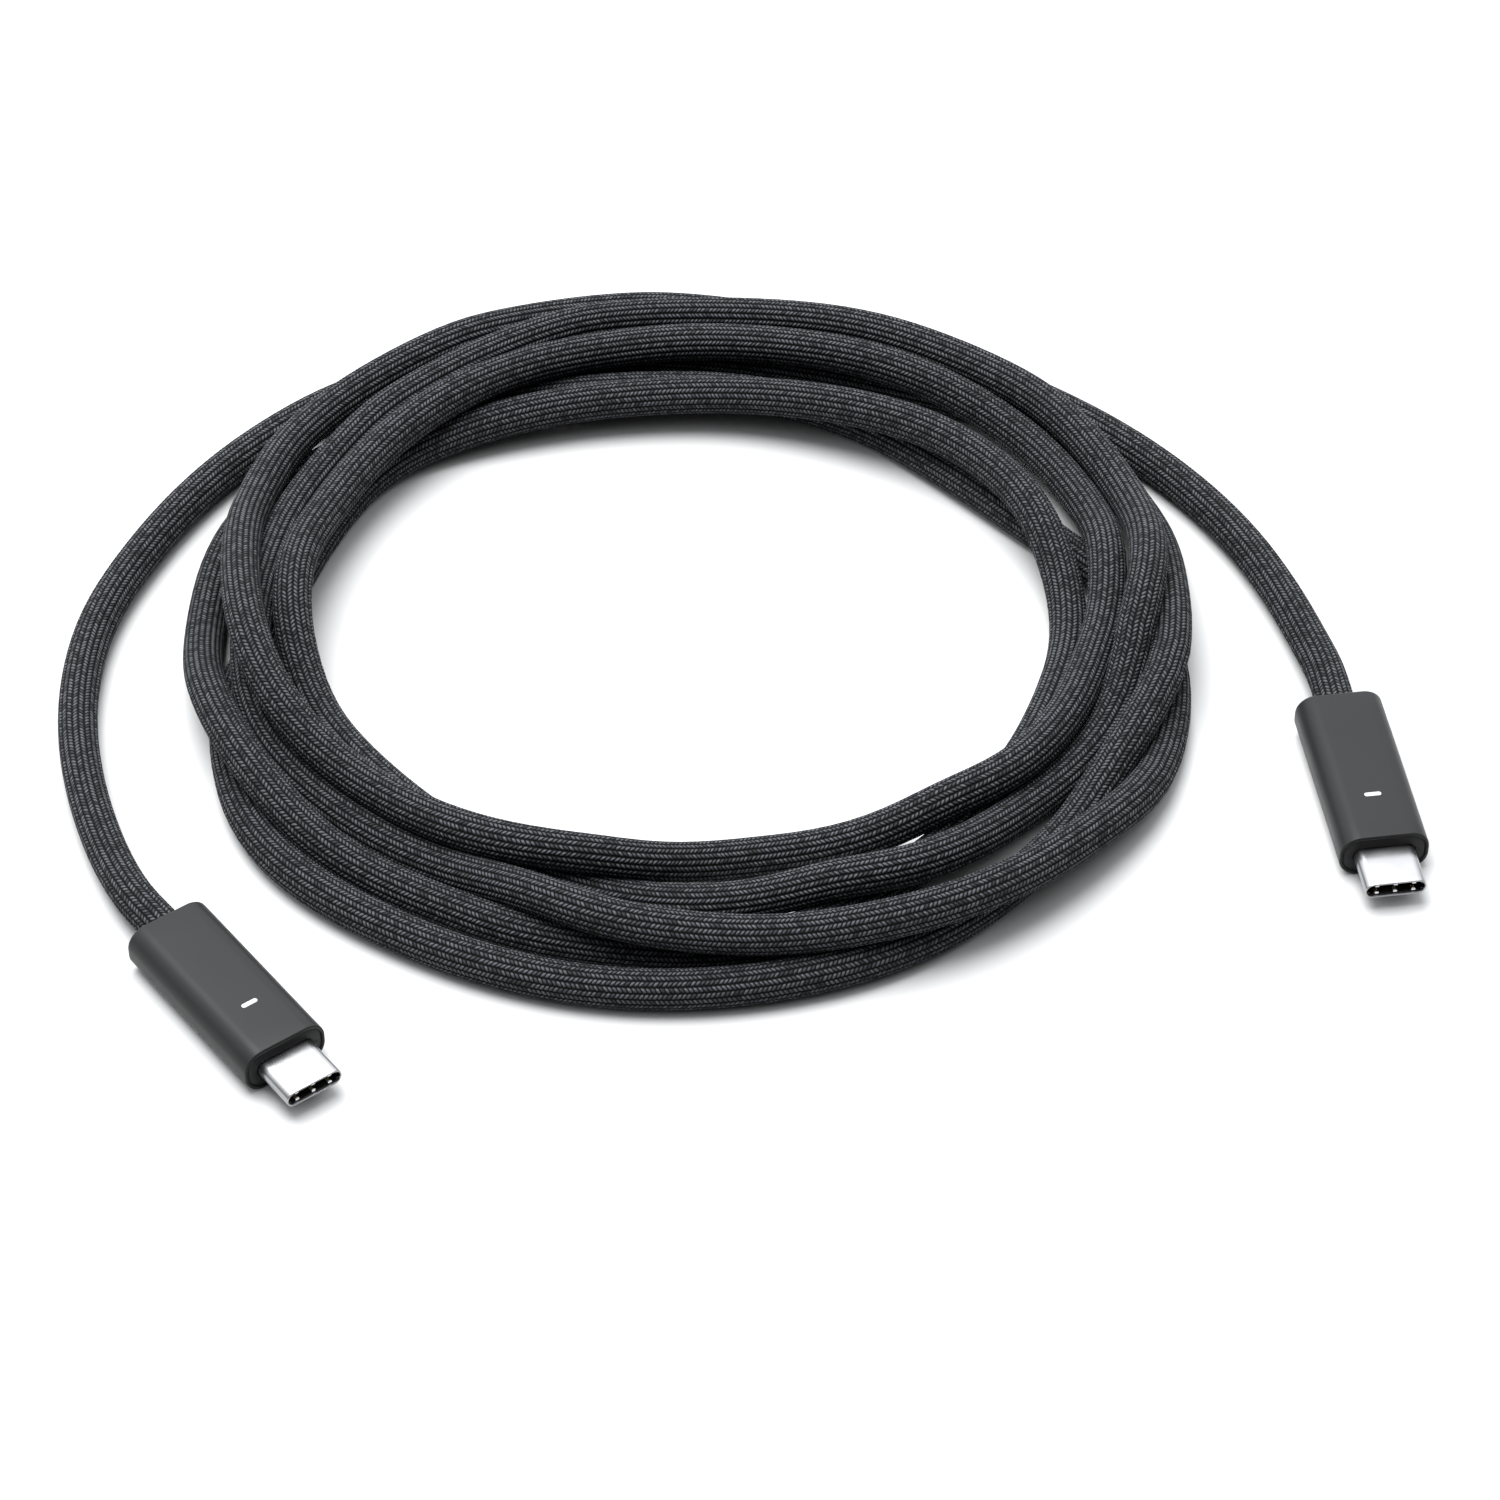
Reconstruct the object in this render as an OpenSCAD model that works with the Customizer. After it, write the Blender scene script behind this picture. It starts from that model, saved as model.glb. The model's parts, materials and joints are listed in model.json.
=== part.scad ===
// Charging cable with a reversible 24-contact plug on each end, wound in five loose turns.
// Millimetres. The floor is z = 0 and the origin lies midway between the two plugs.

/* [Cord] */
// Diameter of the braided cord
cord_d = 5.4; // [4.2:0.1:6]
// Diameter of the inner jacket, where the braid is stripped off
jacket_d = 4.2; // [3:0.1:4.4]
// X of the middle of the coil
coil_x = -14; // [-30:1:10]
// Y of the middle of the coil
coil_y = 54; // [40:1:80]

/* [Plug housing] */
// Length of the housing
housing_l = 28; // [24:1:40]
// Width of the housing
housing_w = 12; // [11.2:0.1:16]
// Thickness of the housing
housing_t = 6.6; // [6.2:0.1:9]
// Wall of the housing
housing_wall = 0.5; // [0.4:0.05:0.8]
// Rounding of the housing's long edges
housing_r = 2.8; // [1.5:0.1:3]
// Thickness of the housing's rear wall
rear_wall = 1.2; // [0.8:0.1:2]
// Depth of the nose piece that closes the front
nose_l = 2.4; // [1.5:0.1:4]
// Step from the housing's rim back to the nose
nose_step = 0.1; // [0.05:0.05:1]

/* [Plug shell] */
// Width of the metal shell
shell_w = 8.25; // [7.8:0.05:9]
// Height of the metal shell
shell_t = 2.4; // [2.2:0.05:2.8]
// Wall of the metal shell
shell_wall = 0.25; // [0.15:0.05:0.3]
// How far the shell stands out of the housing
shell_out = 6.65; // [5:0.05:8]
// How far the shell goes back inside the housing
shell_in = 6; // [5:0.5:7]

/* [Contacts] */
// Spacing of the contacts
contact_pitch = 0.5; // [0.4:0.05:0.55]
// Width of one contact
contact_w = 0.25; // [0.15:0.05:0.3]
// Thickness of one contact
contact_t = 0.12; // [0.08:0.01:0.15]
// Free length of a contact beam
contact_l = 4.6; // [4:0.1:4.7]

/* [Circuit board] */
// Length of the board
board_l = 14; // [12:0.5:14]
// Thickness of the board
board_t = 0.6; // [0.4:0.1:0.8]

/* [Places] */
// X of the first plug's rear face
plug_a_x = -80; // [-95:1:-70]
// Y of the first plug's rear face
plug_a_y = -6; // [-20:1:10]
// Direction in which the first plug points
plug_a_turn = -53; // [-75:1:-30]
// X of the second plug's rear face
plug_b_x = 75; // [65:1:90]
// Y of the second plug's rear face
plug_b_y = 36; // [20:1:50]
// Direction in which the second plug points
plug_b_turn = -82; // [-100:1:-60]

/* [Hidden] */
$fn = 48;

// Clearance between pieces that are pushed together
fit_gap = 0.05;
// Clearance round pieces that move
run_gap = 0.1;

// The coil is laid on a clock of stations, 20 degrees apart, that starts at coil_start.
coil_start = 60;
station_step = 20;
stations = 360 / station_step;
// Radius of the centreline at each station, one row for each turn, in the order it is wound
turn_radius = [
    [67, 67.5, 69.5, 64.5, 65.5, 63, 60, 59, 55, 53.5, 51, 46.5, 50.5, 55.5, 56.5, 58.5, 60.5, 61],
    [58, 56, 56, 54, 53, 52.5, 53.5, 52, 50.5, 51.5, 53.5, 56.5, 60.5, 59, 61.5, 64, 66, 66],
    [65, 64, 62, 59, 58, 58, 58, 61, 58, 57, 62.5, 65.5, 69, 70, 69.5, 65, 54, 50],
    [50, 50.5, 51, 54.5, 59.5, 65, 65.5, 66, 65.5, 62.5, 62.5, 62.5, 57.5, 54, 53, 53.5, 52.5, 50.5],
    [47.5, 46.5, 46.5, 49, 54, 54, 56.5, 64.5, 69.5, 69.5, 70, 69.5, 68.5, 66, 66.5, 67, 68.5, 65.5],
    [59.5, 57.5, 59.5, 63.5]];
// Height of the centreline over the floor at each station
turn_height = [
    [2.7, 3, 3, 8, 7, 8.5, 12.5, 11.5, 6.5, 8, 7, 2.7, 5, 8, 6.5, 7, 6, 5.5],
    [8, 8, 7, 9, 9, 8.5, 10, 3, 3, 2.7, 2.7, 5, 8, 4, 4, 12.5, 7.5, 8],
    [7.5, 6.5, 7.5, 8.5, 7.5, 6.5, 8, 6, 2.7, 4, 8, 7.5, 8, 6.5, 3, 2.7, 2.7, 2.7],
    [2.7, 2.7, 2.7, 2.7, 2.7, 2.7, 3, 8, 5.5, 2.7, 2.7, 2.7, 2.7, 2.7, 2.7, 3, 8, 8],
    [7.5, 6, 5.5, 5, 3, 2.7, 2.7, 2.7, 2.7, 2.7, 2.7, 2.7, 3, 2.7, 7, 7.5, 3, 3],
    [2.7, 2.7, 2.7, 2.7]];
// Route of the tail from the coil to the first plug, and from the coil to the second plug
route_a = [[-60, 104.5], [-69, 98], [-78, 88.5], [-85, 78], [-90, 67.5], [-94, 56.5], [-95.5, 46],
    [-95.5, 35.5], [-94, 25.5], [-91.5, 16], [-88.5, 8]];
route_b = [[31, 106.5], [41, 99.5], [50, 91.5], [58, 82], [64.5, 71.5], [69, 61], [72, 51.5]];
// Straight length of cord behind each plug
lead_in = 8;

cord_r = cord_d / 2;
plug_z = housing_t / 2;
tube_sides = 10;
coil_chamfer = cord_r / 2;

cavity_w = housing_w - 2 * housing_wall;
cavity_t = housing_t - 2 * housing_wall;
cavity_r = housing_r - housing_wall;
nose_x1 = housing_l - nose_step;
nose_x0 = nose_x1 - nose_l;
shell_x0 = housing_l - shell_in;
shell_x1 = housing_l + shell_out;
mouth_w = shell_w - 2 * shell_wall;
mouth_t = shell_t - 2 * shell_wall;

// The insert fills the shell; its slot takes the mating tongue.
mouth_lip = 0.3;
slot_depth = 5.95;
slot_side_wall = 0.45;
slot_top_wall = 0.18;
insert_x1 = shell_x1 - mouth_lip;
slot_x0 = insert_x1 - slot_depth;
slot_w = mouth_w - 2 * slot_side_wall;
slot_t = mouth_t - 2 * slot_top_wall;
beam_x0 = slot_x0 + 2 * run_gap;
beam_x1 = beam_x0 + contact_l;
beam_z = slot_t / 2 - 2 * run_gap - contact_t;
bump_h = 0.17;
bump_l = 0.6;
contact_count = 12;
latch_t = 0.15;
latch_h = 0.4;
latch_slot_t = latch_h + 3 * run_gap;
latch_y = mouth_w / 2 - latch_t - 2 * run_gap;
spring_l = 0.9;
spring_w = 0.5;
spring_h = 0.12;
spring_pitch = 2.45;

terminal_l = 2.5;
board_gap = 0.5;
board_x1 = shell_x0 - board_gap;
board_x0 = board_x1 - board_l;
shield_wall = 0.2;
shield_w = cavity_w - 2 * fit_gap;
shield_t = cavity_t - 2 * fit_gap;
shield_r = cavity_r - fit_gap;
shield_x0 = board_x0 - board_gap;
shield_x1 = nose_x0 - 2 * fit_gap;
board_w = shield_w - 2 * shield_wall - 2 * fit_gap;
chip_size = 3;
chip_t = 0.75;
passive_size = [1, 0.5, 0.35];
passive_gap = 0.6;

strip_l = 2;
ferrule_gap = 0.4;
jacket_x1 = board_x0 - strip_l;
ferrule_x0 = rear_wall + ferrule_gap;
ferrule_x1 = jacket_x1 - ferrule_gap;
ferrule_t = 0.25;
wire_d = 0.6;
wire_count = 4;
wire_land = 2.2;
wire_z = board_t / 2 + wire_d / 2 + fit_gap;

mark_l = 2.4;
mark_w = 0.8;
mark_depth = 0.1;
mark_proud = 0.03;
mark_from_front = 8;
mark_x = housing_l - mark_from_front;

// Helpers

function flat(rows) = [for (row = rows) for (value = row) value];
function coil_angle(i) = coil_start + station_step * i;
// The values that a table holds for one station of the clock, over all its turns
function at_station(table, k) = [for (row = table) if (k < len(row)) row[k]];

// Direction of a route at point i
function route_way(p, i) =
    let (v = p[min(i + 1, len(p) - 1)] - p[max(i - 1, 0)]) v / norm(v);
// One ring of the tube, upright and square to the route
function tube_ring(c, way, r) =
    let (side = [-way[1], way[0], 0] / norm([way[0], way[1], 0]))
    let (up = cross(way, side))
    [for (k = [0:tube_sides - 1])
        let (a = 360 * (k + 0.5) / tube_sides)
        let (q = c + r * (cos(a) * side + sin(a) * up))
        [q[0], q[1], max(q[2], 0)]];

// A closed tube through the route's points
module tube(p, r) {
    n = len(p);
    m = tube_sides;
    points = [for (i = [0:n - 1]) each tube_ring(p[i], route_way(p, i), r)];
    sides = [for (i = [0:n - 2]) for (k = [0:m - 1])
        [i * m + k, i * m + (k + 1) % m, (i + 1) * m + (k + 1) % m, (i + 1) * m + k]];
    first = [[for (k = [0:m - 1]) m - 1 - k]];
    last = [[for (k = [0:m - 1]) (n - 1) * m + k]];
    polyhedron(points, concat(sides, first, last));
}

// The 2D outline of a bar with round ends
module stadium(w, t) {
    square([w - t, t], center = true);
    for (s = [-1, 1])
        translate([s * (w - t) / 2, 0]) circle(d = t);
}

// The 2D outline of a box with round corners
module round_box(w, t, r) {
    square([w - 2 * r, t], center = true);
    square([w, t - 2 * r], center = true);
    for (sx = [-1, 1])
        for (sy = [-1, 1])
            translate([sx * (w / 2 - r), sy * (t / 2 - r)]) circle(r = r);
}

// Runs a 2D outline along the plug, from x0 to x1
module along(x0, x1) {
    translate([x0, 0, 0]) rotate([90, 0, 90]) linear_extrude(x1 - x0) children();
}

// A block between two corners
module block(low, high) {
    translate(low) cube(high - low);
}

// Puts a piece of the first or the second plug in its place
module on_plug_a() {
    translate([plug_a_x, plug_a_y, plug_z]) rotate([0, 0, plug_a_turn]) children();
}
module on_plug_b() {
    translate([plug_b_x, plug_b_y, plug_z]) rotate([0, 0, plug_b_turn]) children();
}

// Cord

// The outer shape of the wound turns, one section at each station
module coil() {
    section = 8;
    points = [for (k = [0:stations - 1])
        let (a = coil_angle(k))
        let (radii = at_station(turn_radius, k))
        let (inner = min(radii) - cord_r)
        let (outer = max(radii) + cord_r)
        let (top = max(at_station(turn_height, k)) + cord_r)
        for (q = [[inner + coil_chamfer, 0], [outer - coil_chamfer, 0],
                  [outer, coil_chamfer], [outer, top - coil_chamfer],
                  [outer - coil_chamfer, top], [inner + coil_chamfer, top],
                  [inner, top - coil_chamfer], [inner, coil_chamfer]])
            [coil_x + q[0] * cos(a), coil_y + q[0] * sin(a), q[1]]];
    faces = [for (k = [0:stations - 1]) for (j = [0:section - 1])
        let (n = (k + 1) % stations)
        let (i = (j + 1) % section)
        [k * section + j, k * section + i, n * section + i, n * section + j]];
    triangles = [for (f = faces) each [[f[0], f[1], f[2]], [f[0], f[2], f[3]]]];
    color("#26272b") polyhedron(points, triangles);
}

// The place of station i on the centreline, counted over all the turns
function coil_point(i) =
    let (r = flat(turn_radius)[i])
    [coil_x + r * cos(coil_angle(i)), coil_y + r * sin(coil_angle(i)), flat(turn_height)[i]];
// A tail's centreline: from its station along its route on the floor, then straight to the plug
function tail_path(i, route, rear, turn) =
    let (back = lead_in * [cos(turn), sin(turn), 0])
    concat([coil_point(i)], [for (q = route) [q[0], q[1], cord_r]], [rear - back, rear]);

module tail_a() {
    last = len(flat(turn_radius)) - 1;
    rear = [plug_a_x, plug_a_y, plug_z];
    color("#26272b") tube(tail_path(last, route_a, rear, plug_a_turn), cord_r);
}

module tail_b() {
    rear = [plug_b_x, plug_b_y, plug_z];
    color("#26272b") tube(tail_path(0, route_b, rear, plug_b_turn), cord_r);
}

// Plug pieces, each drawn with the rear face's middle at the origin and the tip along +X

module housing() {
    color("#55565a") difference() {
        along(0, housing_l) round_box(housing_w, housing_t, housing_r);
        along(rear_wall, housing_l + 1) round_box(cavity_w, cavity_t, cavity_r);
        along(-1, rear_wall + 1) circle(d = cord_d + 2 * fit_gap);
        mark_pocket();
    }
}

// The shallow pocket that holds the mark
module mark_pocket() {
    translate([mark_x, 0, housing_t / 2 - mark_depth])
        linear_extrude(mark_depth + 1) rotate(90) stadium(mark_l, mark_w);
}

module mark() {
    color("white") translate([mark_x, 0, housing_t / 2 - mark_depth])
        linear_extrude(mark_depth + mark_proud)
            rotate(90) stadium(mark_l - 2 * fit_gap, mark_w - 2 * fit_gap);
}

module nose() {
    color("#3c3d40") difference() {
        along(nose_x0, nose_x1)
            round_box(cavity_w - 2 * fit_gap, cavity_t - 2 * fit_gap, cavity_r - fit_gap);
        along(nose_x0 - 1, nose_x1 + 1) stadium(shell_w + 2 * fit_gap, shell_t + 2 * fit_gap);
    }
}

module shell() {
    color("#d4d6d8") difference() {
        along(shell_x0, shell_x1) stadium(shell_w, shell_t);
        along(shell_x0 - 1, shell_x1 + 1) stadium(mouth_w, mouth_t);
    }
}

module insert() {
    color("#17181a") difference() {
        along(shell_x0, insert_x1) stadium(mouth_w - fit_gap, mouth_t - fit_gap);
        block([slot_x0, -slot_w / 2, -slot_t / 2], [insert_x1 + 1, slot_w / 2, slot_t / 2]);
        block([slot_x0, -mouth_w / 2, -latch_slot_t / 2],
              [insert_x1 + 1, mouth_w / 2, latch_slot_t / 2]);
    }
}

// One contact beam with the bump that touches the tongue, on the side that z points to
module contact_beam(y) {
    block([beam_x0, y - contact_w / 2, beam_z], [beam_x1, y + contact_w / 2, beam_z + contact_t]);
    block([beam_x1 - 2 * bump_l, y - contact_w / 2, beam_z - bump_h],
          [beam_x1 - bump_l, y + contact_w / 2, beam_z]);
}

module contacts() {
    color("#d9b44a")
        for (k = [0:contact_count - 1])
            contact_beam((k - (contact_count - 1) / 2) * contact_pitch);
}

module contacts_top() {
    contacts();
}

module contacts_bottom() {
    rotate([180, 0, 0]) contacts();
}

// The side latch arm, with the nib that catches the tongue
module latch() {
    color("#c9cbcd") union() {
        block([beam_x0, latch_y, -latch_h / 2], [beam_x1, latch_y + latch_t, latch_h / 2]);
        block([beam_x1 - 2 * bump_l, latch_y - bump_h, -latch_h / 2],
              [beam_x1 - bump_l, latch_y, latch_h / 2]);
    }
}

module latch_left() {
    latch();
}

module latch_right() {
    mirror([0, 1, 0]) latch();
}

// The ground springs that wipe the mating shell, three above the slot and three below
module ground_springs() {
    x0 = insert_x1 + fit_gap / 2;
    color("#e2e3e4")
        for (side = [-1, 1])
            for (k = [-1:1])
                translate([x0 - spring_l, k * spring_pitch - spring_w / 2, 0])
                    mirror([0, 0, side < 0 ? 1 : 0])
                        translate([0, 0, slot_t / 2 - spring_h - fit_gap])
                            cube([spring_l, spring_w, spring_h]);
}

// The fixed rear ends of the contacts, from the insert back to the board
module terminals() {
    color("#d9b44a")
        for (side = [-1, 1])
            for (k = [0:contact_count - 1]) {
                y = (k - (contact_count - 1) / 2) * contact_pitch;
                z = side * (board_t / 2 + contact_t / 2);
                translate([shell_x0 - terminal_l / 2, y, z])
                    cube([terminal_l, contact_w, contact_t], center = true);
            }
}

module board() {
    color("#1f5a3a")
        block([board_x0, -board_w / 2, -board_t / 2], [board_x1, board_w / 2, board_t / 2]);
}

module chip() {
    color("#1b1b1d") translate([board_x0 + board_l / 2, 0, board_t / 2 + chip_t / 2])
        cube([chip_size, chip_size, chip_t], center = true);
}

// Resistors and capacitors, three each side of the chip and four under the board
module passives() {
    x = board_x0 + board_l / 2;
    y = (chip_size + passive_size[1]) / 2 + passive_gap;
    z = (board_t + passive_size[2]) / 2;
    color("#b9a98a") {
        for (side = [-1, 1])
            for (k = [-1:1])
                translate([x + k * (passive_size[0] + passive_gap), side * y, z])
                    cube(passive_size, center = true);
        for (k = [-1.5:1.5])
            translate([x, k * (passive_size[1] + passive_gap), -z])
                cube(passive_size, center = true);
    }
}

// The two sheet-metal halves round the board, which meet on its middle plane
module shield_half() {
    color("#b4b7ba") intersection() {
        along(shield_x0, shield_x1) difference() {
            round_box(shield_w, shield_t, shield_r);
            round_box(shield_w - 2 * shield_wall, shield_t - 2 * shield_wall,
                      shield_r - shield_wall);
        }
        block([shield_x0, -housing_w, 0], [shield_x1, housing_w, housing_t]);
    }
}

module shield_top() {
    shield_half();
}

module shield_bottom() {
    mirror([0, 0, 1]) shield_half();
}

module ferrule() {
    color("#a9acae") difference() {
        along(ferrule_x0, ferrule_x1) circle(d = jacket_d + 2 * ferrule_t);
        along(ferrule_x0 - 1, ferrule_x1 + 1) circle(d = jacket_d);
    }
}

// The cord's end: braided through the rear wall, then stripped to the inner jacket
module cord_end() {
    color("#1d1e21") union() {
        along(fit_gap, rear_wall) circle(d = cord_d);
        along(rear_wall, jacket_x1) circle(d = jacket_d);
    }
}

// The conductors, in an upper and a lower row that fan out to the board
module wires() {
    reach = board_x0 + wire_land - jacket_x1;
    color("#c8703c")
        for (side = [-1, 1])
            for (k = [0:wire_count - 1]) {
                lane = k - (wire_count - 1) / 2;
                y0 = lane * (wire_d + run_gap);
                y1 = lane * board_w / (wire_count + 1);
                length = norm([reach, y1 - y0]);
                translate([jacket_x1, y0, side * wire_z])
                    rotate([0, 90, atan2(y1 - y0, reach)]) cylinder(h = length, d = wire_d);
            }
}

coil();
tail_a();
tail_b();

on_plug_a() housing();  // housing_a
on_plug_a() nose();  // nose_a
on_plug_a() shell();  // shell_a
on_plug_a() insert();  // insert_a
on_plug_a() contacts_top();  // contacts_top_a
on_plug_a() contacts_bottom();  // contacts_bottom_a
on_plug_a() latch_left();  // latch_left_a
on_plug_a() latch_right();  // latch_right_a
on_plug_a() ground_springs();  // ground_springs_a
on_plug_a() terminals();  // terminals_a
on_plug_a() board();  // board_a
on_plug_a() chip();  // chip_a
on_plug_a() passives();  // passives_a
on_plug_a() shield_top();  // shield_top_a
on_plug_a() shield_bottom();  // shield_bottom_a
on_plug_a() ferrule();  // ferrule_a
on_plug_a() cord_end();  // cord_end_a
on_plug_a() wires();  // wires_a
on_plug_a() mark();  // mark_a

on_plug_b() housing();  // housing_b
on_plug_b() nose();  // nose_b
on_plug_b() shell();  // shell_b
on_plug_b() insert();  // insert_b
on_plug_b() contacts_top();  // contacts_top_b
on_plug_b() contacts_bottom();  // contacts_bottom_b
on_plug_b() latch_left();  // latch_left_b
on_plug_b() latch_right();  // latch_right_b
on_plug_b() ground_springs();  // ground_springs_b
on_plug_b() terminals();  // terminals_b
on_plug_b() board();  // board_b
on_plug_b() chip();  // chip_b
on_plug_b() passives();  // passives_b
on_plug_b() shield_top();  // shield_top_b
on_plug_b() shield_bottom();  // shield_bottom_b
on_plug_b() ferrule();  // ferrule_b
on_plug_b() cord_end();  // cord_end_b
on_plug_b() wires();  // wires_b
on_plug_b() mark();  // mark_b
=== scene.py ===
"""The looks of a braided charging cable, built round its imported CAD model.

Everything is in metres. The cord's route repeats the values of part.scad, and the plugs take
their places from the record's mounts.
"""

import json
import math

import bpy
import numpy as np
from mathutils import Matrix, Vector


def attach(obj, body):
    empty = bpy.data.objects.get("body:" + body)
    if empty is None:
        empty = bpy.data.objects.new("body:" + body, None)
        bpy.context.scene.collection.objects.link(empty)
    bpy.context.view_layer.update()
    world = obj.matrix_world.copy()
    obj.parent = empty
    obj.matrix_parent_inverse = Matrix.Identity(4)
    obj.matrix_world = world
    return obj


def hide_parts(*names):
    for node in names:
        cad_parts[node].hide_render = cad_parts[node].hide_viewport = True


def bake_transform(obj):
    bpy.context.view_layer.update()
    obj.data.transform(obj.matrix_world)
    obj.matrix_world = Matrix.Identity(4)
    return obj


MM = 0.001

# ---------------------------------------------------------------- sizes shared with part.scad

CORD_D = 5.4 * MM
CORD_R = CORD_D / 2
HOUSING_L, HOUSING_W, HOUSING_T = 28 * MM, 12 * MM, 6.6 * MM
HOUSING_R, HOUSING_WALL, REAR_WALL = 2.8 * MM, 0.5 * MM, 1.2 * MM
NOSE_L, NOSE_STEP = 2.4 * MM, 0.1 * MM
SHELL_W, SHELL_T, SHELL_WALL = 8.25 * MM, 2.4 * MM, 0.25 * MM
SHELL_OUT, SHELL_IN = 6.65 * MM, 6 * MM
FIT_GAP = 0.05 * MM
SLOT_T, MOUTH_LIP = 1.54 * MM, 0.3 * MM
SPRING_L, SPRING_W, SPRING_H, SPRING_PITCH = 0.9 * MM, 0.5 * MM, 0.12 * MM, 2.45 * MM

# The coil is laid on a clock of stations, 20 degrees apart, one row for each turn. The radii, the
# heights and the points of the two routes are in millimetres.
COIL_MIDDLE = np.array([-14, 54]) * MM
COIL_START, STATION_STEP = 60, 20
TURN_RADIUS = [
    [67, 67.5, 69.5, 64.5, 65.5, 63, 60, 59, 55, 53.5, 51, 46.5, 50.5, 55.5, 56.5, 58.5, 60.5, 61],
    [58, 56, 56, 54, 53, 52.5, 53.5, 52, 50.5, 51.5, 53.5, 56.5, 60.5, 59, 61.5, 64, 66, 66],
    [65, 64, 62, 59, 58, 58, 58, 61, 58, 57, 62.5, 65.5, 69, 70, 69.5, 65, 54, 50],
    [50, 50.5, 51, 54.5, 59.5, 65, 65.5, 66, 65.5, 62.5, 62.5, 62.5, 57.5, 54, 53, 53.5, 52.5, 50.5],
    [47.5, 46.5, 46.5, 49, 54, 54, 56.5, 64.5, 69.5, 69.5, 70, 69.5, 68.5, 66, 66.5, 67, 68.5, 65.5],
    [59.5, 57.5, 59.5, 63.5]]
TURN_HEIGHT = [
    [2.7, 3, 3, 8, 7, 8.5, 12.5, 11.5, 6.5, 8, 7, 2.7, 5, 8, 6.5, 7, 6, 5.5],
    [8, 8, 7, 9, 9, 8.5, 10, 3, 3, 2.7, 2.7, 5, 8, 4, 4, 12.5, 7.5, 8],
    [7.5, 6.5, 7.5, 8.5, 7.5, 6.5, 8, 6, 2.7, 4, 8, 7.5, 8, 6.5, 3, 2.7, 2.7, 2.7],
    [2.7, 2.7, 2.7, 2.7, 2.7, 2.7, 3, 8, 5.5, 2.7, 2.7, 2.7, 2.7, 2.7, 2.7, 3, 8, 8],
    [7.5, 6, 5.5, 5, 3, 2.7, 2.7, 2.7, 2.7, 2.7, 2.7, 2.7, 3, 2.7, 7, 7.5, 3, 3],
    [2.7, 2.7, 2.7, 2.7]]
ROUTE_A = [[-60, 104.5], [-69, 98], [-78, 88.5], [-85, 78], [-90, 67.5], [-94, 56.5], [-95.5, 46],
           [-95.5, 35.5], [-94, 25.5], [-91.5, 16], [-88.5, 8]]
ROUTE_B = [[31, 106.5], [41, 99.5], [50, 91.5], [58, 82], [64.5, 71.5], [69, 61], [72, 51.5]]
LEAD_IN = 8 * MM

# ---------------------------------------------------------------- the frame

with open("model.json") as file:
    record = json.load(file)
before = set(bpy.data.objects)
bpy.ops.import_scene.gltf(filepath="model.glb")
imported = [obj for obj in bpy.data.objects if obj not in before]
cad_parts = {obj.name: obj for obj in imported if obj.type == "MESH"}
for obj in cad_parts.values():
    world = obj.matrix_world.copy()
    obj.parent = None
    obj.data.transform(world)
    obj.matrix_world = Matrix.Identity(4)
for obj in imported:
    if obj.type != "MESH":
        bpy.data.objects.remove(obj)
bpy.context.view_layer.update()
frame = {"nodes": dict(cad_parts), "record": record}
MOUNTS = {m["name"]: m for m in frame["record"]["mounts"]}


def plug_place(letter):
    """Where a plug lies: its rear face's middle at the origin, and its tip along +X."""
    mount = MOUNTS["connector_" + letter]
    way, up = Vector(mount["axis"]).normalized(), Vector((0, 0, 1))
    rear = Vector(mount["pos_m"]) - way * (HOUSING_L + SHELL_OUT)
    place = Matrix((way, up.cross(way), up)).transposed().to_4x4()
    place.translation = rear
    return place


PLUGS = {letter: plug_place(letter) for letter in "ab"}

# ---------------------------------------------------------------- camera

AIM = Vector((-4.5, 31.6, 0)) * MM
DISTANCE, ELEVATION = 0.7, math.radians(43.5)
camera = bpy.data.objects.new("camera", bpy.data.cameras.new("camera"))
bpy.context.scene.collection.objects.link(camera)
towards_camera = Vector((0, -math.cos(ELEVATION), math.sin(ELEVATION)))
camera.location = AIM + DISTANCE * towards_camera
camera.rotation_euler = (math.pi / 2 - ELEVATION, 0, 0)
camera.data.sensor_width, camera.data.lens = 36, 124.3
camera.data.clip_start, camera.data.clip_end = 0.01, 10
bpy.context.scene.camera = camera

# ---------------------------------------------------------------- node materials


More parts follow.
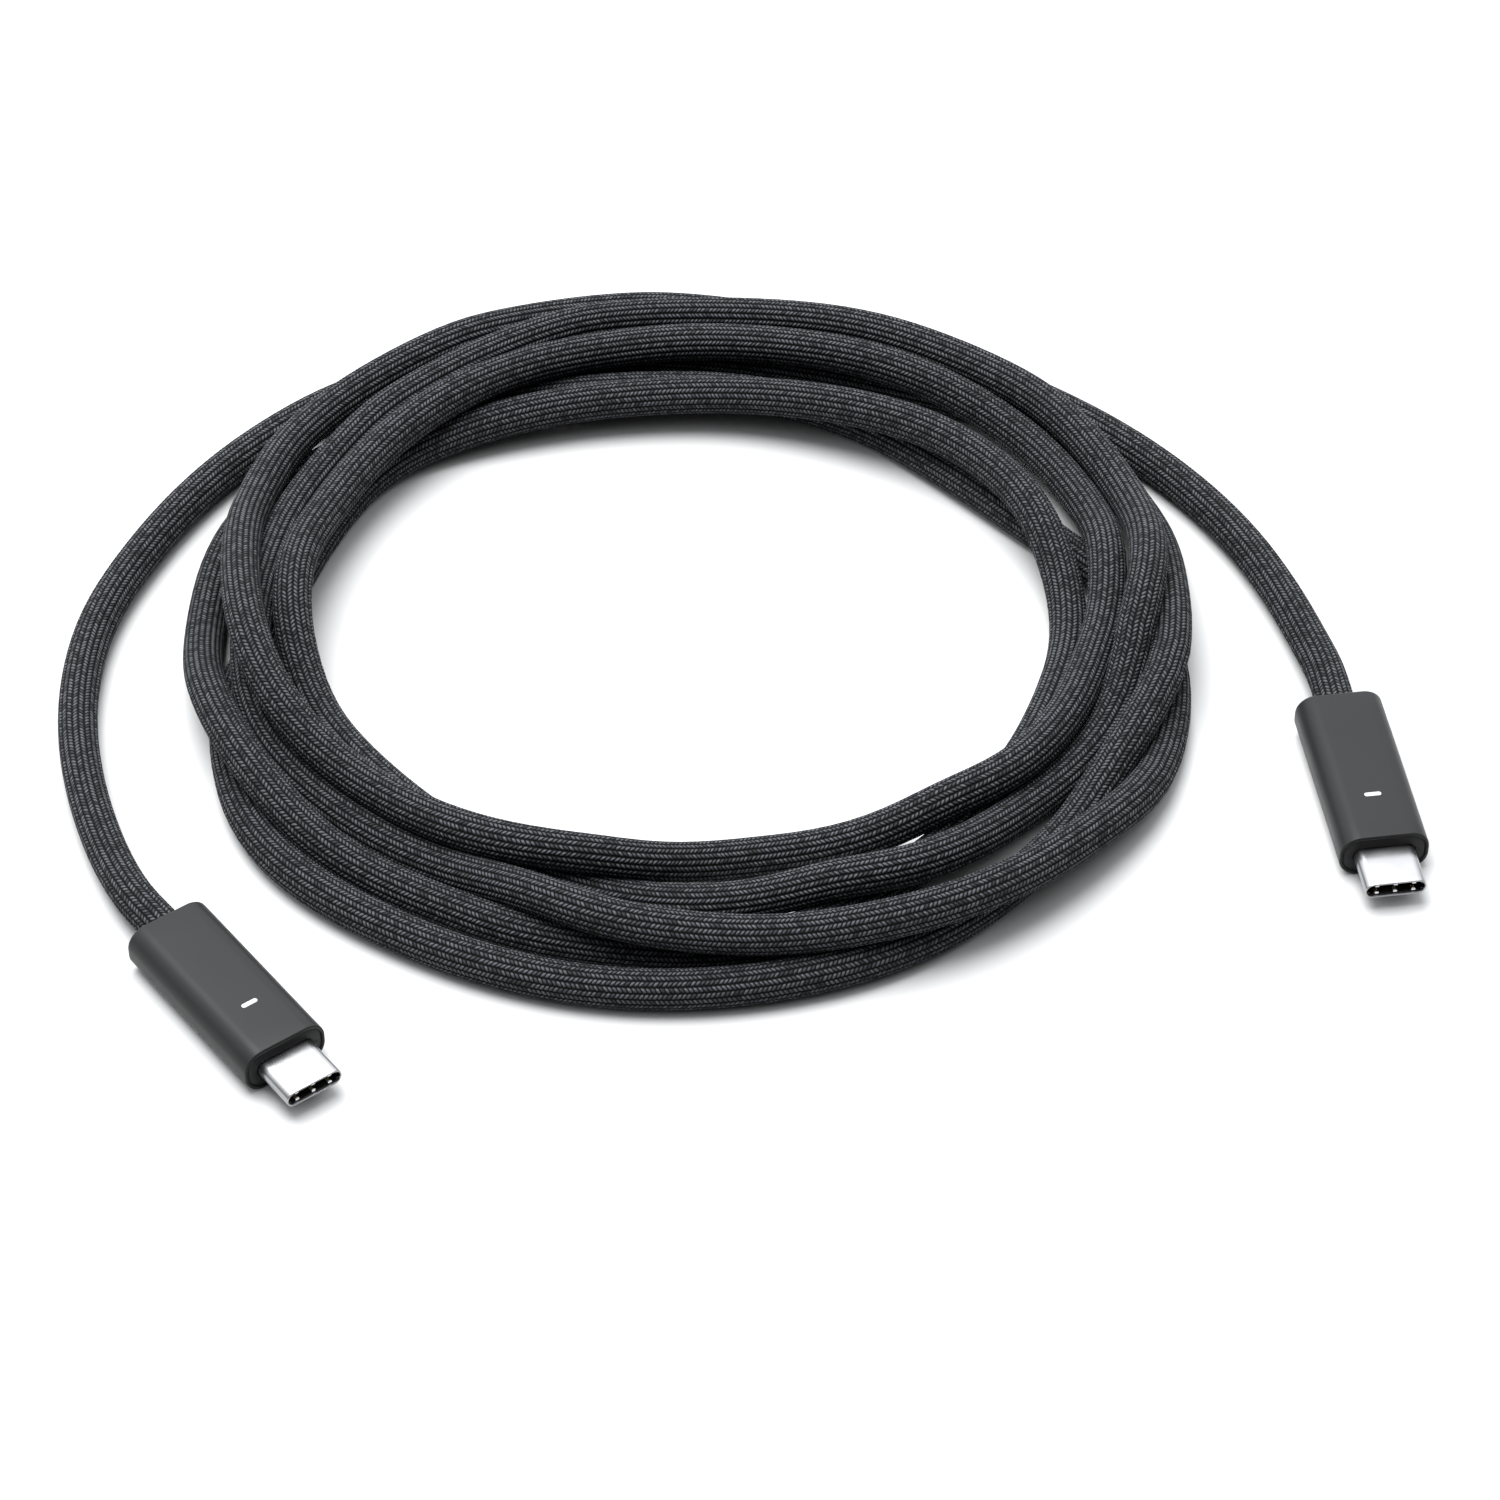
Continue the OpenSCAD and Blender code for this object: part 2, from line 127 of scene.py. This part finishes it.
class Nodes:
    """Adds nodes to a material's tree, so that a material reads as a few lines of sums."""

    NOISE_ROUGHNESS = 0.55

    def __init__(self, name):
        self.material = bpy.data.materials.new(name)
        self.material.use_nodes = True
        self.tree = self.material.node_tree
        self.shader = self.tree.nodes["Principled BSDF"]

    def add(self, kind, **settings):
        node = self.tree.nodes.new(kind)
        for key, value in settings.items():
            setattr(node, key, value)
        return node

    def link(self, value, socket):
        """Joins another node's output to the socket, or sets it to a constant."""
        if isinstance(value, bpy.types.NodeSocket):
            self.tree.links.new(value, socket)
        else:
            socket.default_value = value

    def sum(self, operation, *values):
        node = self.add("ShaderNodeMath", operation=operation)
        for value, socket in zip(values, node.inputs):
            self.link(value, socket)
        return node.outputs[0]

    def ramp(self, value, low, high, start=0.0, end=1.0):
        """value from low to high, turned smoothly into start to end."""
        node = self.add("ShaderNodeMapRange", interpolation_type="SMOOTHSTEP")
        for socket, given in zip(node.inputs, (value, low, high, start, end)):
            self.link(given, socket)
        return node.outputs[0]

    def mix(self, share, one, other):
        node = self.add("ShaderNodeMix", data_type="RGBA")
        self.link(share, node.inputs["Factor"])
        self.link(one, node.inputs[6])
        self.link(other, node.inputs[7])
        return node.outputs[2]

    def place(self):
        return self.add("ShaderNodeTexCoord").outputs["Object"]

    def stretched(self, scale):
        node = self.add("ShaderNodeMapping")
        self.link(self.place(), node.inputs["Vector"])
        node.inputs["Scale"].default_value = scale
        return node.outputs[0]

    def noise(self, scale, detail=4.0, at=None):
        node = self.add("ShaderNodeTexNoise")
        self.link(self.place() if at is None else at, node.inputs["Vector"])
        for key, value in (("Scale", scale), ("Detail", detail), ("Roughness", self.NOISE_ROUGHNESS)):
            node.inputs[key].default_value = value
        return node.outputs[0]

    def bump(self, height, distance, over=None):
        node = self.add("ShaderNodeBump")
        self.link(height, node.inputs["Height"])
        node.inputs["Distance"].default_value = distance
        node.inputs["Strength"].default_value = 1.0
        if over is not None:
            self.link(over, node.inputs["Normal"])
        return node.outputs[0]

    def finish(self, **inputs):
        """Sets the shader's inputs, base_color for Base Color and so on, and gives the material."""
        for key, value in inputs.items():
            self.link(value, self.shader.inputs[key.replace("_", " ").title()])
        return self.material


def shade(colour, by):
    return tuple(c * by for c in colour) + (1.0,)


# A plain finish mixes fine grain with broad clouds, which are 12 times as wide
GRAIN_SHARE, CLOUD_SHARE, CLOUD_WIDTH = 0.6, 0.4, 12
ROUGHNESS_SPREAD = 0.12


def plain(name, colour, roughness, scale, depth, spread, metallic=0.0, stretch=None, specular=0.5):
    """A finish with fine grain, which moves its colour, its roughness and its surface a little."""
    n = Nodes(name)
    n.shader.inputs["Specular IOR Level"].default_value = specular
    at = n.stretched(stretch) if stretch else None
    grain = n.noise(scale, at=at)
    clouds = n.noise(scale / CLOUD_WIDTH, detail=2.0)
    both = n.sum("ADD", n.sum("MULTIPLY", grain, GRAIN_SHARE), n.sum("MULTIPLY", clouds, CLOUD_SHARE))
    smooth, rough = roughness * (1 - ROUGHNESS_SPREAD), roughness * (1 + ROUGHNESS_SPREAD)
    return n.finish(
        base_color=n.mix(both, shade(colour, 1 - spread), shade(colour, 1 + spread)),
        roughness=n.ramp(both, 0.3, 0.7, smooth, rough),
        metallic=metallic,
        normal=n.bump(grain, depth))


# The braid's look. A stitch leans by SLANT of its length as it crosses its rib, and the rows drift
# by up to WANDER of a stitch. Each stitch gets its own painted gleam in its colour, from GLEAM_LEAST up.
SLANT, WANDER, WANDER_SCALE = 0.85, 0.5, 450
GLEAM_LEAST, GLEAM_SPREAD = 0.25, 1.1
STITCH_DEPTH, FUZZ_DEPTH, FUZZ_SCALE = 0.18 * MM, 0.02 * MM, 9000
# The yarn's colour in the painted shade of the grooves, and in the painted light on the stitches' crowns
YARN_IN_SHADE, YARN_IN_LIGHT = (0.0010, 0.0011, 0.0013, 1), (0.068, 0.071, 0.081, 1)


def braid_material():
    """Lengthwise ribs, each a row of slanted stitches. The next rib's stitches slant the other way.

    The Weave map counts ribs round the cord and stitches along it.
    """
    n = Nodes("braid")
    apart = n.add("ShaderNodeSeparateXYZ")
    n.link(n.add("ShaderNodeUVMap", uv_map="Weave").outputs[0], apart.inputs[0])
    around, along = apart.outputs[0], apart.outputs[1]
    rib = n.sum("FLOOR", around)
    across = n.sum("SUBTRACT", n.sum("FRACT", around), 0.5)
    odd = n.sum("MODULO", rib, 2.0)
    slant = n.sum("MULTIPLY", n.sum("SUBTRACT", n.sum("MULTIPLY", odd, 2.0), 1.0), SLANT)
    wander = n.sum("MULTIPLY", n.noise(WANDER_SCALE, detail=1.0), WANDER)
    phase = n.sum("ADD", n.sum("ADD", n.sum("ADD", along, wander), n.sum("MULTIPLY", across, slant)),
                  n.sum("MULTIPLY", odd, 0.5))
    stitch = n.sum("FLOOR", phase)
    beat = n.sum("ABSOLUTE", n.sum("SUBTRACT", n.sum("FRACT", phase), 0.5))
    crown = n.sum("SUBTRACT", 1.0, n.sum("POWER", n.sum("MULTIPLY", beat, 2.0), 2.0))
    edge = n.sum("POWER", n.sum("MULTIPLY", n.sum("ABSOLUTE", across), 2.0), 2.0)
    height = n.sum("MULTIPLY", crown, n.sum("SUBTRACT", 1.0, edge))
    place = n.add("ShaderNodeCombineXYZ")
    n.link(rib, place.inputs[0])
    n.link(stitch, place.inputs[1])
    own = n.add("ShaderNodeTexWhiteNoise", noise_dimensions="2D")
    n.link(place.outputs[0], own.inputs["Vector"])
    gleam = n.sum("ADD", GLEAM_LEAST, n.sum("MULTIPLY", own.outputs["Value"], GLEAM_SPREAD))
    # Painted shade and light: the colour darkens towards each stitch's ends and the rib's edges, and
    # brightens on its crown by its own painted gleam
    light = n.sum("MULTIPLY", n.ramp(height, 0.25, 0.85), gleam)
    colour = n.mix(light, YARN_IN_SHADE, YARN_IN_LIGHT)
    fuzz = n.noise(FUZZ_SCALE, detail=2.0)
    relief = n.bump(fuzz, FUZZ_DEPTH, over=n.bump(height, STITCH_DEPTH))
    n.shader.inputs["Specular IOR Level"].default_value = 0.2
    return n.finish(base_color=colour, roughness=n.ramp(light, 0, 1, 0.9, 0.5), normal=relief)


BRAID = braid_material()
HOUSING_FINISH = plain("satin_grey", (0.016, 0.016, 0.0165), 0.38, 2600, 0.004 * MM, 0.06, specular=0.16)
NOSE_FINISH = plain("nose_grey", (0.017, 0.017, 0.0175), 0.42, 2600, 0.006 * MM, 0.08, specular=0.16)
STEEL = plain("bright_steel", (0.38, 0.38, 0.39), 0.30, 500, 0.0006 * MM, 0.03, metallic=1.0,
              stretch=(1, 1, 6))
SPRING_STEEL = plain("spring_steel", (0.80, 0.81, 0.82), 0.30, 1200, 0.001 * MM, 0.05, metallic=1.0)
INSULATOR = plain("black_insulator", (0.006, 0.006, 0.007), 0.42, 3500, 0.004 * MM, 0.25)
GOLD = plain("gold_plate", (0.83, 0.60, 0.22), 0.25, 1500, 0.001 * MM, 0.06, metallic=1.0)
BOARD = plain("solder_mask", (0.012, 0.085, 0.045), 0.35, 700, 0.004 * MM, 0.3)
CHIP = plain("moulded_black", (0.013, 0.013, 0.015), 0.55, 3000, 0.006 * MM, 0.3)
CERAMIC = plain("fired_ceramic", (0.40, 0.31, 0.20), 0.5, 2200, 0.004 * MM, 0.2)
TIN = plain("tinned_sheet", (0.62, 0.63, 0.65), 0.34, 900, 0.002 * MM, 0.12, metallic=1.0, stretch=(1, 4, 1))
JACKET = plain("black_jacket", (0.012, 0.012, 0.014), 0.6, 1500, 0.01 * MM, 0.25)
COPPER = plain("enamelled_copper", (0.62, 0.25, 0.11), 0.3, 1800, 0.002 * MM, 0.12, metallic=1.0)
INK = plain("white_ink", (0.42, 0.42, 0.43), 0.55, 3000, 0.003 * MM, 0.04)
PALE_FLOOR = plain("pale_floor", (0.52, 0.52, 0.52), 0.9, 40, 0.0, 0.01)

# ---------------------------------------------------------------- mesh helpers


def add_mesh(name, points, faces, material, uvs=None, flat=0):
    """A smooth-shaded mesh. Its last faces, flat of them, are shaded flat inside a sharp rim."""
    mesh = bpy.data.meshes.new(name)
    mesh.from_pydata([tuple(p) for p in points], [], faces)
    mesh.polygons.foreach_set("use_smooth", [i < len(faces) - flat for i in range(len(faces))])
    if uvs is not None:
        mesh.uv_layers.new(name="Weave").uv.foreach_set("vector", np.asarray(uvs, np.float32).ravel())
    mesh.materials.append(material)
    if flat:
        rim = {tuple(sorted(pair)) for face in faces[-flat:] for pair in zip(face, face[1:] + face[:1])}
        for edge in mesh.edges:
            if tuple(sorted(edge.vertices)) in rim:
                edge.use_edge_sharp = True
    mesh.update()
    made = bpy.data.objects.new(name, mesh)
    bpy.context.scene.collection.objects.link(made)
    return made


def loop_faces(rings, around, closed):
    """The quads between rings of the same number of points. closed joins the last ring to the first."""
    faces = []
    for i in range(rings if closed else rings - 1):
        j = (i + 1) % rings
        for k in range(around):
            m = (k + 1) % around
            faces.append((i * around + k, i * around + m, j * around + m, j * around + k))
    return faces


def box_outline(width, thick, radius, per_corner=14):
    """A rectangle with round corners, as points in the plug's cross-section."""
    points = []
    for corner, (sy, sz) in enumerate(((1, 1), (-1, 1), (-1, -1), (1, -1))):
        for i in range(per_corner + 1):
            a = math.radians(90 * (corner + i / per_corner))
            points.append((sy * (width / 2 - radius) + radius * math.cos(a),
                           sz * (thick / 2 - radius) + radius * math.sin(a)))
    return np.array(points)


def circle_like(outline, radius):
    """A circle whose points lie in the same directions as the outline's."""
    return outline / np.linalg.norm(outline, axis=1)[:, None] * radius


def ring(x, outline):
    """A cross-section's outline as points at x along the plug."""
    return np.column_stack([np.full(len(outline), x), outline])


def fillet(x, radius, steps, towards):
    """(x, inset) pairs round a quarter circle, from the face at x to the side.

    towards is 1 where the piece lies on the face's +X side, and -1 where it lies on the other.
    """
    return [(x + towards * radius * (1 - math.cos(a)), radius * (1 - math.sin(a)))
            for a in (math.pi / 2 * i / steps for i in range(steps + 1))]


def swept(name, rings, material, place):
    """A closed skin through the rings, in a plug's place."""
    points = [place @ Vector(p) for p in np.vstack(rings)]
    return add_mesh(name, points, loop_faces(len(rings), len(rings[0]), True), material)


# ---------------------------------------------------------------- the cord's route


def run_along(line):
    """How far along the line each of its points lies."""
    return np.concatenate([[0], np.cumsum(np.linalg.norm(np.diff(line, axis=0), axis=1))])


def smooth_line(points, step, per_span=24):
    """A smooth line through the points, resampled at an even step."""
    p = np.vstack([2 * points[0] - points[1], points, 2 * points[-1] - points[-2]])
    fine = []
    for t in np.linspace(0, 1, per_span, endpoint=False):
        a, b, c, d = p[:-3], p[1:-2], p[2:-1], p[3:]
        fine.append(0.5 * (2 * b + (c - a) * t + (2 * a - 5 * b + 4 * c - d) * t ** 2
                           + (3 * b - a - 3 * c + d) * t ** 3))
    line = np.vstack([np.stack(fine, 1).reshape(-1, 3), points[-1]])
    run = run_along(line)
    at = np.linspace(0, run[-1], round(run[-1] / step) + 1)
    return np.column_stack([np.interp(at, run, line[:, k]) for k in range(3)])


def tail_points(route, letter):
    """A tail's points from the coil to its plug: along the floor, then straight in."""
    rear = np.array(PLUGS[letter].translation)
    way = np.array(PLUGS[letter].col[0][:3])
    flat = [[x * MM, y * MM, CORD_R] for x, y in route]
    return np.array(flat + [rear - way * LEAD_IN, rear])


def route_points():
    """The whole route, from plug b round the coil to plug a."""
    radius = np.array(sum(TURN_RADIUS, [])) * MM
    height = np.array(sum(TURN_HEIGHT, [])) * MM
    angle = np.radians(COIL_START + STATION_STEP * np.arange(len(radius)))
    coil = np.column_stack([COIL_MIDDLE[0] + radius * np.cos(angle),
                            COIL_MIDDLE[1] + radius * np.sin(angle), height])
    return np.vstack([tail_points(ROUTE_B, "b")[::-1], coil, tail_points(ROUTE_A, "a")])


SETTLE_STEP = 3 * MM
SETTLE_ROUNDS = 1500
LOOK_EVERY = 25  # rounds between two searches for points that may touch
LOOK_NEAR = 1.4 * CORD_D  # how near two points are when they may touch
OWN_STRETCH = 8  # points to either side that belong to the same stretch of cord
HELD = 5  # points at each end that stay in line with the plug
PRESS = 0.25  # share of an overlap that each round takes out
BEND_STIFFNESS = 0.10
WEIGHT = 0.006 * MM  # how far each round lets the cord sink
PULL = (0.025, 0.025, 0.015)  # share of the way back to the route in each round


def settle(route):
    """The route, with the turns pressed apart, sunk and bent as a cord's are, near where it puts them."""
    line = route.copy()
    index = np.arange(len(line))
    may_touch = np.triu(np.abs(index[:, None] - index[None]) > OWN_STRETCH)
    for turn in range(SETTLE_ROUNDS):
        if turn % LOOK_EVERY == 0:
            gap = np.linalg.norm(line[:, None] - line[None], axis=2)
            one, other = np.nonzero(may_touch & (gap < LOOK_NEAR))
        push = np.zeros_like(line)
        between = line[one] - line[other]
        apart = np.linalg.norm(between, axis=1) + 1e-12
        press = between * (np.clip(CORD_D - apart, 0, None) / apart * PRESS)[:, None]
        np.add.at(push, one, press)
        np.add.at(push, other, -press)
        curve = np.zeros_like(line)
        curve[1:-1] = line[:-2] + line[2:] - 2 * line[1:-1]
        push[2:-2] -= BEND_STIFFNESS * (curve[1:-3] + curve[3:-1] - 2 * curve[2:-2])
        push[:, 2] -= WEIGHT
        push += (route - line) * PULL
        push[:HELD] = push[-HELD:] = 0
        line += push
        line[:, 2] = np.maximum(line[:, 2], CORD_R)
    return line


RING_STEP = 2.6 * MM
cord_line = smooth_line(settle(smooth_line(route_points(), SETTLE_STEP)), RING_STEP)
cord_run = run_along(cord_line)
print("cord length", round(float(cord_run[-1]), 4))

# ---------------------------------------------------------------- the braided cord

RIBS, PER_RIB = 20, 5  # ribs round the cord, and points round each rib
RIB_DEPTH = 0.15 * MM
STITCH = 0.59 * MM  # a stitch's length along the cord
TWIST, TWIST_RUN = 0.5, 0.7  # the ribs wind to and fro by this angle, over this length of cord


def braid(name, first, last, tuck_first=0.0, tuck_last=0.0):
    """The braided tube along cord_line's points first to last. A tuck runs its end on into a plug."""
    line, run = cord_line[first:last + 1].copy(), cord_run[first:last + 1].copy()
    way = np.gradient(cord_line, cord_run, axis=0)[first:last + 1]
    way /= np.linalg.norm(way, axis=1)[:, None]
    for end, tuck in ((0, -tuck_first), (-1, tuck_last)):
        if tuck:
            extra, at = line[end] + way[end] * tuck, run[end] + tuck
            if end == 0:
                line, run, way = np.vstack([extra, line]), np.append(at, run), np.vstack([way[0], way])
            else:
                line, run, way = np.vstack([line, extra]), np.append(run, at), np.vstack([way, way[-1]])
    side = np.cross([0, 0, 1], way)
    side /= np.linalg.norm(side, axis=1)[:, None]
    up = np.cross(way, side)
    around = RIBS * PER_RIB
    share = np.arange(around) / around
    across = share * RIBS % 1
    radius = CORD_R - RIB_DEPTH * (1 - np.sin(np.pi * across) ** 0.5)
    turn = TWIST * np.sin(2 * np.pi * run / TWIST_RUN)
    angle = 2 * np.pi * share[None] + turn[:, None]
    points = (line[:, None] + radius[None, :, None]
              * (np.cos(angle)[..., None] * side[:, None] + np.sin(angle)[..., None] * up[:, None]))
    count = len(line)
    faces = loop_faces(count, around, False)
    u = np.arange(around + 1) / PER_RIB
    v = run / STITCH
    corner = np.empty((count - 1, around, 4, 2))
    corner[:, :, 0, 0] = corner[:, :, 3, 0] = u[:-1]
    corner[:, :, 1, 0] = corner[:, :, 2, 0] = u[1:]
    corner[:, :, 0, 1] = corner[:, :, 1, 1] = v[:-1, None]
    corner[:, :, 2, 1] = corner[:, :, 3, 1] = v[1:, None]
    corner = list(corner.reshape(-1, 2))
    for cap in (list(range(around))[::-1], [(count - 1) * around + k for k in range(around)]):
        faces.append(tuple(cap))
        corner += [(0.0, 0.0)] * around
    return add_mesh(name, points.reshape(-1, 3), faces, BRAID, corner, flat=2)


END_RUN, BEND_RUN, TUCK = 42 * MM, 20 * MM, 0.8 * MM
last = len(cord_line) - 1
cut_b, cut_a = round(END_RUN / RING_STEP), last - round(END_RUN / RING_STEP)
cord = braid("cord_braid", cut_b, cut_a)
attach(cord, "cord")
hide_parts("coil", "tail_a", "tail_b")
ends = {"a": braid("cord_end_braid_a", cut_a, last, tuck_last=TUCK),
        "b": braid("cord_end_braid_b", 0, cut_b, tuck_first=TUCK)}
for letter, piece in ends.items():
    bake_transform(piece)


# ---------------------------------------------------------------- the plugs

REAR_ROUND, FRONT_ROUND, HOLE_ROUND = 0.42 * MM, 0.22 * MM, 0.15 * MM
LIP_ROUND, MOUTH_ROUND = 0.05 * MM, 0.12 * MM


def inset(by):
    """The housing's outline, drawn in by a distance."""
    return box_outline(HOUSING_W - 2 * by, HOUSING_T - 2 * by, HOUSING_R - by)


def housing_rings():
    """The sleeve, from the cord's hole out over the rear edge, along to the front rim and back inside."""
    hole = CORD_R + FIT_GAP
    whole = inset(0)
    rings = [ring(REAR_WALL, circle_like(whole, hole))]
    rings += [ring(HOLE_ROUND * (1 - t), circle_like(whole, hole + HOLE_ROUND * t * t))
              for t in (0, 0.5, 1)]
    rings += [ring(x, inset(d)) for x, d in fillet(0, REAR_ROUND, 8, 1)]
    rings += [ring(HOUSING_L * k / 8, whole) for k in range(1, 8)]
    rings += [ring(x, inset(d)) for x, d in reversed(fillet(HOUSING_L, FRONT_ROUND, 6, -1))]
    rings += [ring(HOUSING_L, inset(HOUSING_WALL - LIP_ROUND))]
    rings += [ring(x, inset(HOUSING_WALL)) for x in (HOUSING_L - LIP_ROUND, REAR_WALL)]
    return rings


def nose_rings():
    """The nose piece: a plate that fills the front, with a softly rounded opening for the shell."""
    gap = HOUSING_WALL + FIT_GAP
    front, rear = HOUSING_L - NOSE_STEP, HOUSING_L - NOSE_STEP - NOSE_L

    def opening(by):
        room = FIT_GAP + by
        return box_outline(SHELL_W + 2 * room, SHELL_T + 2 * room, SHELL_T / 2 + room)

    rings = [ring(x, inset(gap)) for x in (rear, front - LIP_ROUND)]
    rings += [ring(front, inset(gap + LIP_ROUND))]
    rings += [ring(front - MOUTH_ROUND * (1 - math.cos(a)), opening(MOUTH_ROUND * (1 - math.sin(a))))
              for a in (math.pi / 2 * i / 5 for i in range(6))]
    rings += [ring(rear, opening(0))]
    return rings


def shell_rings():
    """The metal shell: a drawn tube with a rounded lip."""
    tip, rear = HOUSING_L + SHELL_OUT, HOUSING_L - SHELL_IN

    def tube(by):
        return box_outline(SHELL_W - 2 * by, SHELL_T - 2 * by, SHELL_T / 2 - by - 0.001 * MM)

    half = SHELL_WALL / 2
    rings = [ring(rear, tube(0)), ring((rear + tip) / 2, tube(0))]
    rings += [ring(tip - half + half * math.sin(a), tube(half - half * math.cos(a)))
              for a in (math.pi * i / 8 for i in range(9))]
    rings += [ring(rear, tube(SHELL_WALL))]
    return rings


def spring_skin(name, place):
    """The six ground springs: each a leaf on the slot's wall, with a rounded crest near the mouth."""
    front = HOUSING_L + SHELL_OUT - MOUTH_LIP + FIT_GAP / 2
    wall = SLOT_T / 2 - FIT_GAP
    leaf = wall - SPRING_H
    crest, crest_h, foot, bevel = 0.14 * MM, 0.26 * MM, 0.42 * MM, 0.03 * MM
    side = [(-SPRING_L, wall), (0, wall), (0, leaf + bevel)]
    side += [(-crest + crest * math.cos(a), leaf + bevel - crest_h * math.sin(a))
             for a in (math.pi * i / 10 for i in range(1, 8))]
    side += [(-foot, leaf), (-SPRING_L, leaf)]
    middle = (wall + leaf) / 2
    points, faces = [], []
    for up in (1, -1):
        for k in (-1, 0, 1):
            first = len(points)
            for y, pull in ((-SPRING_W / 2, bevel), (-SPRING_W / 2 + bevel, 0),
                            (SPRING_W / 2 - bevel, 0), (SPRING_W / 2, bevel)):
                for x, z in side:
                    z += math.copysign(min(pull, abs(z - middle)), middle - z)
                    points.append(place @ Vector((front + x, k * SPRING_PITCH + y * up, z * up)))
            count = len(side)
            faces += [tuple(first + i for i in face) for face in loop_faces(4, count, False)]
            faces += [tuple(first + i for i in reversed(range(count))),
                      tuple(first + 3 * count + i for i in range(count))]
    return add_mesh(name, points, faces, SPRING_STEEL)


for letter, place in PLUGS.items():
    body = "plug_" + letter
    springs = spring_skin("spring_skin_" + letter, place)
    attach(springs, body)
    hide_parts("ground_springs_" + letter)
    for kind, rings, finish, slot in (("housing", housing_rings(), HOUSING_FINISH, "housing"),
                                      ("nose", nose_rings(), NOSE_FINISH, "nose"),
                                      ("shell", shell_rings(), STEEL, "steel")):
        piece = swept(kind + "_skin_" + letter, rings, finish, place)
        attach(piece, body)
        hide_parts(kind + "_" + letter)

FINISHES = {"insert": INSULATOR, "contacts_top": GOLD, "contacts_bottom": GOLD, "terminals": GOLD,
            "latch_left": SPRING_STEEL, "latch_right": SPRING_STEEL,
            "board": BOARD, "chip": CHIP, "passives": CERAMIC, "shield_top": TIN, "shield_bottom": TIN,
            "ferrule": TIN, "cord_end": JACKET, "wires": COPPER, "mark": INK}
for kind, finish in FINISHES.items():
    for letter in PLUGS:
        mesh = frame["nodes"][kind + "_" + letter].data
        mesh.materials.clear()
        mesh.materials.append(finish)

# ---------------------------------------------------------------- floor and light

FLOOR_REACH = 3
CORNERS = [(x * FLOOR_REACH, y * FLOOR_REACH, 0) for x, y in ((-1, -1), (1, -1), (1, 1), (-1, 1))]
add_mesh("floor", CORNERS, [(0, 1, 2, 3)], PALE_FLOOR)

LIGHT_AT, LIGHT_AIM = Vector((-0.30, 0.30, 1.5)), Vector((0, 0.03, 0))
light = bpy.data.objects.new("overhead", bpy.data.lights.new("overhead", "AREA"))
light.data.shape, light.data.size, light.data.energy = "DISK", 1.2, 40
light.location = LIGHT_AT
light.rotation_euler = (LIGHT_AIM - LIGHT_AT).to_track_quat("-Z", "Y").to_euler()
bpy.context.scene.collection.objects.link(light)

# The studio's walls: bright behind and over the object, dim before it and towards the floor
BRIGHT_SIDE = (-0.15, 0.55, 0.82)
world = bpy.data.worlds.new("studio")
bpy.context.scene.world = world
world.use_nodes = True
tree = world.node_tree
facing = tree.nodes.new("ShaderNodeVectorMath")
facing.operation = "DOT_PRODUCT"
tree.links.new(tree.nodes.new("ShaderNodeTexCoord").outputs["Generated"], facing.inputs[0])
facing.inputs[1].default_value = BRIGHT_SIDE
glow = tree.nodes.new("ShaderNodeMapRange")
glow.interpolation_type = "SMOOTHSTEP"
tree.links.new(facing.outputs["Value"], glow.inputs["Value"])
for key, value in (("From Min", 0.05), ("From Max", 0.9), ("To Min", 0.05), ("To Max", 2.2)):
    glow.inputs[key].default_value = value
studio = tree.nodes["Background"]
studio.inputs["Color"].default_value = (0.96, 0.98, 1.0, 1)
tree.links.new(glow.outputs["Result"], studio.inputs["Strength"])
bpy.context.scene.view_settings.view_transform = "Standard"
